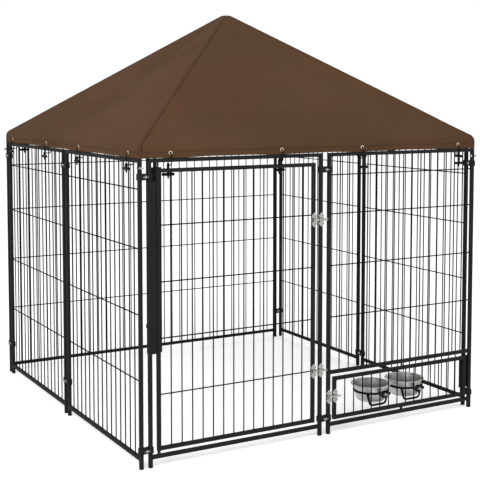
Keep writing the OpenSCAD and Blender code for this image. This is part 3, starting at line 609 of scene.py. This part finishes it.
def canopy_sheet(material, pulls):
    """The sheet and its sewn laps, drawn out ring by ring from the apex and then moved to its slack form."""
    steps = 88
    rings = canopy_profile()
    lengths = [0.0]
    for a, b in zip(rings, rings[1:]):
        lengths.append(lengths[-1] + math.dist(a, b))
    bm = bmesh.new()
    bmesh.ops.create_circle(bm, cap_ends=True, radius=0.01, segments=4 * steps)
    bm.verts.ensure_lookup_table()
    uv = bm.loops.layers.uv.new("cloth")
    hip_layer = bm.verts.layers.float.new("hip_distance")
    hem_layer = bm.verts.layers.float.new("hem_distance")
    ring, level = list(bm.verts), {}
    for k, (w, z) in enumerate(rings):
        if k:
            edges = [e for e in bm.edges if e.is_boundary]
            made = bmesh.ops.extrude_edge_only(bm, edges=edges)["geom"]
            fresh = {g for g in made if isinstance(g, bmesh.types.BMVert)}
            ring = [next(o for o in (e.other_vert(v) for e in v.link_edges) if o in fresh) for v in ring]
        lap = min(HIP_LAP, 0.25 * w)
        for i, v in enumerate(ring):
            column = i % steps
            u = lap - w + (column - 1) / (steps - 2) * 2 * (w - lap) if column else -w
            v.co = Matrix.Rotation(PI / 2 * (i // steps), 3, "Z") @ Vector((u, -w, z))
            v[hip_layer] = w - abs(u)
            v[hem_layer] = lengths[-1] - lengths[k]
            level[v] = k
    for face in bm.faces:
        c = face.calc_center_median()
        back = side_turn(c.x, c.y).inverted()
        for loop in face.loops:
            loop[uv].uv = ((back @ loop.vert.co).x, lengths[level[loop.vert]])
    for v in bm.verts:
        turn = side_turn(v.co.x, v.co.y)
        p = turn.inverted() @ v.co
        side = side_number(turn)
        out, up = cloth_move(p.x, -p.y, p.z, side, pulls[side])
        widen = 1 + out / -p.y if -p.y > 0.03 else 1.0
        v.co = turn @ Vector((p.x * widen, p.y * widen, p.z + up))
    bmesh.ops.recalc_face_normals(bm, faces=bm.faces)
    if sum(face.normal.z for face in bm.faces) < 0:
        bmesh.ops.reverse_faces(bm, faces=bm.faces)

    def on_hem(hip, drop):
        return drop < HEM_LAP

    def on_seam(hip, drop):
        return hip < HIP_LAP + 1e-5 and HEM_LAP - 3e-4 < drop < lengths[-1] - CAP_RIM

    laps = [second_layer(bm, "canopy_hem", material, on_hem),
            second_layer(bm, "canopy_hip_seams", material, on_seam)]
    obj = put("canopy_sheet", bm, "run", material, crease=0)
    wall = obj.modifiers.new("cloth_thickness", "SOLIDIFY")
    wall.thickness = CLOTH_T
    wall.offset = 0.0
    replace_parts(obj, "canopy")
    return obj, laps


# Fittings of the canopy

def eyelets(material):
    """Rolled metal eyelets in the hem, one spun ring copied to each place."""
    # The ring's outline in millimetres, from its middle and along its hole
    rim = [(3.75, -0.9), (3.7, 0.0), (3.75, 0.9), (4.4, 1.45), (5.3, 1.6), (6.3, 1.3), (7.0, 0.62),
           (6.6, 0.42), (4.5, 0.40), (4.5, -0.40), (6.6, -0.42),
           (7.0, -0.62), (6.3, -1.3), (5.3, -1.6), (4.4, -1.45)]
    form = bmesh.new()
    made = [form.verts.new((r / 1000, a / 1000, 0)) for r, a in rim]
    edges = [form.edges.new((made[i - 1], made[i])) for i in range(len(made))]
    turned(form, made + edges, (0, 1, 0), 28)
    bmesh.ops.recalc_face_normals(form, faces=form.faces)
    middles = [(lo + hi) / 2 for lo, hi in joined_islands("grommets")]
    bm = copies(form, [Matrix.Translation(m) @ side_turn(m.x, m.y) for m in middles])
    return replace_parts(put("eyelets", bm, "run", material, crease=50), "grommets")


def elastic_loops(material):
    """Cords from each toggle's neck over the rail, through the eyelet, down the far face and back."""
    made = []
    loop_z, turn_z, turn_r, neck_z = 1.0197, 0.9913, 0.006, 0.9963
    for lo, hi in joined_islands("toggles"):
        mid = (lo + hi) / 2
        turn = side_turn(mid.x, mid.y)
        local = turn.inverted() @ mid
        way = 1 if -local.y > MID else -1
        path = [(1, neck_z - 0.003), (1, neck_z + 0.006)]
        path += [(math.cos(a), loop_z + CORD_OUT * math.sin(a)) for a in [PI * i / 14 for i in range(15)]]
        path += [(-1, turn_z + turn_r + 0.004)]
        path += [((-CORD_OUT + turn_r * (1 - math.cos(a))) / CORD_OUT, turn_z + turn_r * (1 - math.sin(a)))
                 for a in [PI / 2 * i / 5 for i in range(6)]]
        path += [(0.0, turn_z), (0.8, turn_z)]
        curve = bpy.data.curves.new("loop_route", "CURVE")
        curve.dimensions = "3D"
        curve.bevel_depth = CORD_R
        curve.bevel_resolution = 2
        curve.use_fill_caps = True
        spline = curve.splines.new("POLY")
        spline.points.add(len(path) - 1)
        for point, (w, z) in zip(spline.points, path):
            p = turn @ Vector((local.x, -MID - way * w * CORD_OUT, z))
            point.co = (*p, 1)
        holder = bpy.data.objects.new("loop_route", curve)
        scene.collection.objects.link(holder)
        bpy.context.view_layer.update()
        depsgraph = bpy.context.evaluated_depsgraph_get()
        made.append(bpy.data.meshes.new_from_object(holder.evaluated_get(depsgraph)))
        bpy.data.objects.remove(holder)
    bm = bmesh.new()
    for mesh in made:
        bm.from_mesh(mesh)
        bpy.data.meshes.remove(mesh)
    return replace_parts(put("elastic_loops", bm, "run", material, crease=60), "bungee_loops")


# Small fittings

BOSS_R, BOSS_TIP_R, BOSS_LONG = 0.0055, 0.0046, 0.0078
WING_SIZE, WING_PLACE, WING_FLARE = (0.0088, 0.0056, 0.0026), (0.0062, -0.0058, 0), math.radians(-14)


def wing_nut_form():
    """A cold-formed wing nut on -Y: a tapered boss and two flared wings."""
    bm = bmesh.new()
    bmesh.ops.create_cone(bm, cap_ends=True, segments=24, radius1=BOSS_R, radius2=BOSS_TIP_R, depth=BOSS_LONG)
    lying = Matrix.Translation((0, -BOSS_LONG / 2, 0)) @ Matrix.Rotation(PI / 2, 4, "X")
    bmesh.ops.transform(bm, matrix=lying, verts=bm.verts)
    rounded(bm, [e for e in bm.edges if e.calc_face_angle(0) > 0.9], 0.0006, 2)
    for side in (0, PI):
        before = set(bm.verts)
        wing = bmesh.ops.create_cube(bm, size=1.0)["verts"]
        bmesh.ops.transform(bm, matrix=Matrix.Diagonal((*WING_SIZE, 1)), verts=wing)
        for v in wing:
            if v.co.x > 0:
                v.co.z *= 0.72
                v.co.y *= 1.12
        rounded(bm, edges_of(wing), 0.00085, 3)
        flare = Matrix.Translation(WING_PLACE) @ Matrix.Rotation(WING_FLARE, 4, "Z")
        bmesh.ops.transform(bm, matrix=Matrix.Rotation(side, 4, "Y") @ flare,
                            verts=[v for v in bm.verts if v not in before])
    return bm


def wing_nuts(node, body, material, on_sides):
    """Formed wing nuts in place of a node's, turned to their own side of the run where on_sides is set."""
    places = []
    for lo, hi in joined_islands(node):
        mid = (lo + hi) / 2
        turn = side_turn(mid.x, mid.y) if on_sides else Matrix.Identity(4)
        a, b = turn.inverted() @ lo, turn.inverted() @ hi
        places.append(turn @ Matrix.Translation(((a.x + b.x) / 2, max(a.y, b.y), (a.z + b.z) / 2)))
    bm = copies(wing_nut_form(), places)
    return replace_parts(put(node + "_formed", bm, body, material, crease=40), node)


# Heights of the cross wires, and the leaves' openings as (left, bottom, top, width)
DOOR_BARS = [0.23745, 0.42365, 0.60985, 0.79605]
SIDE_BARS = [0.2867, 0.5042, 0.7217, 0.9153]
FEED_BARS = [*DOOR_BARS[1:], 0.9353]
FEED_RAIL_Z = 0.2178
DOOR_OPENING = (-0.6289, 0.0654, 0.9681, 0.58985)
FEED_OPENING = (0.06775, 0.0632, 0.1928, 0.59785)
LEFT_U, RIGHT_U = TUBE + POST_GAP - HALF, TUBE + POST_GAP - HALF + PANEL_W + PAIR_GAP
PANEL_WIRES, LEAF_WIRES = 15, 14

BEAD_R, BEAD_TIP_R, BEAD_LONG, BEAD_OUT = 0.0031, 0.0018, 0.0019, 0.0009
NUGGET_R, NUGGET_SHAPE = 0.0021, Matrix.Diagonal((1.15, 0.75, 1.15, 1))
TUBE_BEAD_R, RIPPLES = 0.0017, 12


def welded_panel(u0, z0, z1, width, count, bars):
    """Where a front panel's wires end on its tubes, as (point, direction), and where they cross."""
    step = width / (count + 1)
    ends, crosses = [], []
    for i in range(1, count + 1):
        u = u0 + step * i
        ends += [((u, -MID, z0), (0, 0, 1)), ((u, -MID, z1), (0, 0, -1))]
        crosses += [(u, -MID + WIRE / 2, z) for z in bars]
    for z in bars:
        ends += [((u0, -MID + WIRE, z), (1, 0, 0)), ((u0 + width, -MID + WIRE, z), (-1, 0, 0))]
    return ends, crosses


def welds(name, body, panels, material):
    """Fillets where wires meet the tubes and nuggets where they cross, in one piece for each body."""
    bm = bmesh.new()
    for turn, (ends, crosses) in panels:
        for point, way in ends:
            bead = bmesh.ops.create_cone(bm, cap_ends=False, segments=10, radius1=BEAD_R, radius2=BEAD_TIP_R,
                                         depth=BEAD_LONG)
            aim = Vector((0, 0, 1)).rotation_difference(Vector(way)).to_matrix().to_4x4()
            at = Vector(point) + Vector(way) * BEAD_OUT
            bmesh.ops.transform(bm, matrix=turn @ Matrix.Translation(at) @ aim, verts=bead["verts"])
        for point in crosses:
            nugget = bmesh.ops.create_uvsphere(bm, u_segments=8, v_segments=5, radius=NUGGET_R)
            bmesh.ops.transform(bm, matrix=turn @ Matrix.Translation(point) @ NUGGET_SHAPE,
                                verts=nugget["verts"])
    return put(name, bm, body, material, crease=60)


def tube_weld_form(length):
    """A rippled weld bead along Y, a little slimmer at its ends."""
    bm = bmesh.new()
    bmesh.ops.create_cone(bm, cap_ends=True, segments=8, radius1=TUBE_BEAD_R, radius2=TUBE_BEAD_R,
                          depth=length)
    long_edges = [e for e in bm.edges if abs(e.verts[0].co.z - e.verts[1].co.z) > length / 2]
    bmesh.ops.subdivide_edges(bm, edges=long_edges, cuts=RIPPLES - 1, use_grid_fill=True)
    for v in bm.verts:
        k = round((v.co.z / length + 0.5) * RIPPLES)
        size = 0.62 if k in (0, RIPPLES) else (1.0 if k % 2 else 0.84)
        v.co.x *= size
        v.co.y *= size
    bmesh.ops.transform(bm, matrix=Matrix.Rotation(PI / 2, 4, "X"), verts=bm.verts)
    return bm


def tube_welds(name, body, openings, material):
    """Beads where rails meet posts: in the corners of each opening, and flat ones across the butted faces."""
    corners, butts = [], []
    flat = Matrix.Rotation(PI / 2, 4, "X") @ Matrix.Diagonal((0.8, 1, 0.22, 1))
    for turn, u0, z0, z1, width, foot in openings:
        for u in (u0, u0 + width):
            for z in (z0, z1, *([z0 - TUBE] if foot else [])):
                corners.append(turn @ Matrix.Translation((u, -MID, z)))
            for z, face in itertools.product((z0 - TUBE / 2, z1 + TUBE / 2), (-1, 1)):
                butts.append(turn @ Matrix.Translation((u, -MID + face * TUBE / 2, z)) @ flat)
    bm = copies(tube_weld_form(TUBE * 0.86), corners + butts)
    return put(name, bm, body, material, crease=60)


def all_tube_welds(material):
    """Tube welds of the eight panels, of which one has two openings, the door and the feeder leaf."""
    inner = PANEL_W - 2 * TUBE
    flat = Matrix.Identity(4)
    run = [(Matrix.Rotation(PI / 2 * side, 4, "Z"), u + TUBE, LOW_TOP, HEAD_Z, inner, True)
           for side in (1, 2, 3) for u in (LEFT_U, RIGHT_U)]
    run.append((flat, LEFT_U + TUBE, LOW_TOP, HEAD_Z, inner, True))
    run.append((flat, RIGHT_U + TUBE, LOW_TOP, FEED_RAIL_Z, inner, True))
    run.append((flat, RIGHT_U + TUBE, FEED_RAIL_Z + TUBE, HEAD_Z, inner, False))
    tube_welds("panel_tube_welds", "run", run, material)
    tube_welds("door_tube_welds", "door", [(flat, *DOOR_OPENING, False)], material)
    tube_welds("feeder_tube_welds", "feeder", [(flat, *FEED_OPENING, False)], material)


def all_welds(material):
    """Wire welds of every panel with wires, the door and the feeder leaf."""
    inner = PANEL_W - 2 * TUBE
    plain = []
    for side in (1, 2, 3):
        turn = Matrix.Rotation(PI / 2 * side, 4, "Z")
        for u in (LEFT_U, RIGHT_U):
            plain.append((turn, welded_panel(u + TUBE, LOW_TOP, HEAD_Z, inner, PANEL_WIRES, SIDE_BARS)))
    flat = Matrix.Identity(4)
    over_leaf = welded_panel(RIGHT_U + TUBE, FEED_RAIL_Z + TUBE, HEAD_Z, inner, PANEL_WIRES, FEED_BARS)
    plain.append((flat, over_leaf))
    welds("panel_welds", "run", plain, material)
    welds("door_welds", "door", [(flat, welded_panel(*DOOR_OPENING, LEAF_WIRES, DOOR_BARS))], material)
    welds("feeder_welds", "feeder", [(flat, welded_panel(*FEED_OPENING, LEAF_WIRES, []))], material)


def spun_bowl(node):
    """A drawn bowl with a rolled rim, turned from one profile, duller inside than outside and darker there as
    painted shade in its hollow.
    """
    lo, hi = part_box(node)
    centre = ((lo.x + hi.x) / 2, (lo.y + hi.y) / 2, lo.z)
    outside = spun_steel(node + "_outside", centre, (0.42, 0.416, 0.404), (0.60, 0.595, 0.580), 0.38)
    # The inside is the same steel with a darker colour: painted shade in the bowl's hollow
    inside = spun_steel(node + "_inside", centre, (0.240, 0.232, 0.224), (0.330, 0.320, 0.310), 0.42)
    # The outline in millimetres: up the outside from the middle of the foot, over the rim, down the inside
    foot, outer, inner = 43.0, 14, 12.8
    rim, rim_z, roll = 74.95, 62.5, 1.5
    quarter, half = [PI / 2 * i / 8 for i in range(1, 9)], [PI * i / 7 for i in range(8)]
    profile = [(0.0, 0.9), (18, 0.7), (36, 0.15), (foot, 0.0)]
    profile += [(foot + outer * math.sin(a), outer - outer * math.cos(a)) for a in quarter]
    profile += [(61.0, 34), (65.9, 59.0), (66.7, 61.7), (68.6, 62.6), (73.6, 62.5)]
    profile += [(rim + roll * math.sin(a), rim_z - roll * math.cos(a)) for a in half]
    profile += [(72, 63.9), (68.4, 63.7), (66.3, 62.9), (65.1, 61.0), (59.8, 34), (55.8, 14)]
    profile += [(foot + inner * math.cos(a), outer - inner * math.sin(a)) for a in quarter]
    profile += [(36, 1.35), (18, 1.9), (0.0, 2.1)]
    bm = bmesh.new()
    verts = [bm.verts.new((r / 1000, 0, z / 1000)) for r, z in profile]
    edges = [bm.edges.new(pair) for pair in zip(verts, verts[1:])]
    turned(bm, verts + edges, (0, 0, 1), 96)
    bmesh.ops.recalc_face_normals(bm, faces=bm.faces)
    for face in bm.faces:
        at = face.calc_center_median()
        away = face.normal.x * at.x + face.normal.y * at.y
        low_inside = face.normal.z > 0.5 and at.z < 0.030
        face.material_index = 1 if low_inside or (away < 0 and at.z < 0.062) else 0
    bmesh.ops.translate(bm, vec=centre, verts=bm.verts)
    obj = put(node + "_spun", bm, nodes[node]["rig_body"], outside, crease=55)
    obj.data.materials.append(inside)
    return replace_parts(obj, node)


HOLDER_WIRE, HOLDER_RING, RING_Z = 0.0056, 0.0649, 0.106
STIRRUP_TOP, STIRRUP_LOW, STIRRUP_FRONT, STIRRUP_Z = 0.0478, 0.0350, 0.0446, 0.0605
STIRRUP_W, STIRRUP_T = 0.0075, 0.0026
PLATE_SIZE, PLATE_Z = (0.016, 0.003, 0.026), 0.108


def stirrup_route():
    """Centre line of the stirrup from the front: down one leg, along its foot and up the other leg."""
    top, low = Vector((-STIRRUP_TOP, RING_Z)), Vector((-STIRRUP_LOW, STIRRUP_Z))
    leg, foot = low.lerp(top, 0.26), low.lerp(Vector((STIRRUP_LOW, STIRRUP_Z)), 0.17)
    bend = [leg.lerp(low, t).lerp(low.lerp(foot, t), t) for t in [i / 8 for i in range(9)]]
    half = [top, top.lerp(leg, 0.5), *bend]
    return half + [Vector((-p.x, p.y)) for p in half[::-1]]


def stirrup(bm):
    """Adds the flat stirrup: its front and back as two strips along the route, joined at their rims."""
    route = stirrup_route()
    before = set(bm.verts)
    for back in (0, STIRRUP_T):
        pair = [bm.verts.new((0, 0, 0)) for _ in range(2)]
        edge = bm.edges.new(pair)
        for k, at in enumerate(route):
            if k:
                fresh = bmesh.ops.extrude_edge_only(bm, edges=[edge])["geom"]
                made = [g for g in fresh if isinstance(g, bmesh.types.BMVert)]
                pair = [next(o for o in made if any(e.other_vert(o) is v for e in o.link_edges))
                        for v in pair]
                edge = bm.edges.get(pair)
            way = (route[min(k + 1, len(route) - 1)] - route[max(k - 1, 0)]).normalized()
            for v, hand in zip(pair, (-1, 1)):
                v.co = (at.x + hand * way.y * STIRRUP_W / 2, back - STIRRUP_FRONT - STIRRUP_T / 2,
                        at.y - hand * way.x * STIRRUP_W / 2)
    strips = [v for v in bm.verts if v not in before]
    bmesh.ops.bridge_loops(bm, edges=[e for e in edges_of(strips) if e.is_boundary])


def bent_holder(node, bowl, material):
    """A bowl's holder: a wire ring, a flat stirrup close to the bowl, and an arm to the clip's plate."""
    lo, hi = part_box(bowl)
    x, y = (lo.x + hi.x) / 2, (lo.y + hi.y) / 2
    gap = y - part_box(node)[0].y
    lying = Matrix.Rotation(PI / 2, 4, "X")
    bm = bmesh.new()
    section = bmesh.ops.create_circle(bm, segments=14, radius=HOLDER_WIRE / 2,
                                      matrix=Matrix.Translation((HOLDER_RING, 0, RING_Z)) @ lying)["verts"]
    turned(bm, section + edges_of(section), (0, 0, 1), 80)
    stirrup(bm)
    arm = bmesh.ops.create_cone(bm, cap_ends=True, segments=14, radius1=HOLDER_WIRE / 2,
                                radius2=HOLDER_WIRE / 2, depth=gap - HOLDER_RING)["verts"]
    arm_place = Matrix.Translation((0, -(gap + HOLDER_RING) / 2, RING_Z)) @ lying
    bmesh.ops.transform(bm, matrix=arm_place, verts=arm)
    plate = bmesh.ops.create_cube(bm, size=1.0)["verts"]
    bmesh.ops.transform(bm, matrix=Matrix.Diagonal((*PLATE_SIZE, 1)), verts=plate)
    bmesh.ops.translate(bm, vec=(0, PLATE_SIZE[1] / 2 - gap, PLATE_Z), verts=plate)
    rounded(bm, edges_of(plate), 0.0006, 2)
    bmesh.ops.recalc_face_normals(bm, faces=bm.faces)
    bmesh.ops.translate(bm, vec=(x, y, 0), verts=bm.verts)
    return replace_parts(put(node + "_bent", bm, "feeder", material, crease=40), node)


# The dressed run

photo_camera()
studio()
black_coat = powder_coat("satin_black_coat", (0.0150, 0.0150, 0.0152), (0.0225, 0.0225, 0.0227), 0.56, 0.03)
black_wire = powder_coat("black_wire_coat", (0.0030, 0.0030, 0.0031), (0.0062, 0.0062, 0.0063), 0.56, 0.03)
black_plastic = moulded_plastic()
zinc = zinc_plating("zinc_plating", (0.24, 0.239, 0.229), (0.41, 0.407, 0.394))
black_zinc = zinc_plating("black_zinc_plating", (0.016, 0.016, 0.0155), (0.030, 0.030, 0.029))
brass = pale_brass()
elastic = braided_cord()
cloth = canopy_cloth()

finishes = {"black_coat": black_coat, "black_wire": black_wire, "black_plastic": black_plastic,
            "zinc_plate": zinc, "bowl_steel": zinc, "brown_cloth": cloth, "pale_brass": brass,
            "elastic_cord": elastic}
for sub in frame["record"]["subparts"]:
    is_pivot = sub["node"] in ("door_pivot_pins", "feeder_pivot_pins")
    mesh = nodes[sub["node"]].data
    mesh.materials.clear()
    mesh.materials.append(black_zinc if is_pivot else finishes[sub["material_slot"]])

pulls = {side: [] for side in range(4)}
for low, high in joined_islands("grommets"):
    spot = (low + high) / 2
    turn = side_turn(spot.x, spot.y)
    pulls[side_number(turn)].append((turn.inverted() @ spot).x)
canopy, laps = canopy_sheet(cloth, pulls)
rings = eyelets(brass)
elastic_loops(elastic)

wing_nuts("wing_nuts", "run", zinc, True)
wing_nuts("holder_nuts", "feeder", zinc, False)
all_welds(black_wire)
all_tube_welds(black_coat)
for name in ("bowl_left", "bowl_right"):
    spun_bowl(name)
    bent_holder(name.replace("bowl", "bowl_holder"), name, black_wire)
for name in ("door_latch_housings", "door_latch_keepers", "feeder_latch_housing", "feeder_latch_keeper"):
    eased(name, zinc, 0.0004)
for name in ("clamp_outer_plates", "clamp_inner_plates", "holder_clips"):
    eased(name, black_coat, 0.0005)
for name in ("foot_caps", "post_caps", "door_caps", "feeder_caps"):
    eased(name, black_plastic, 0.0008)
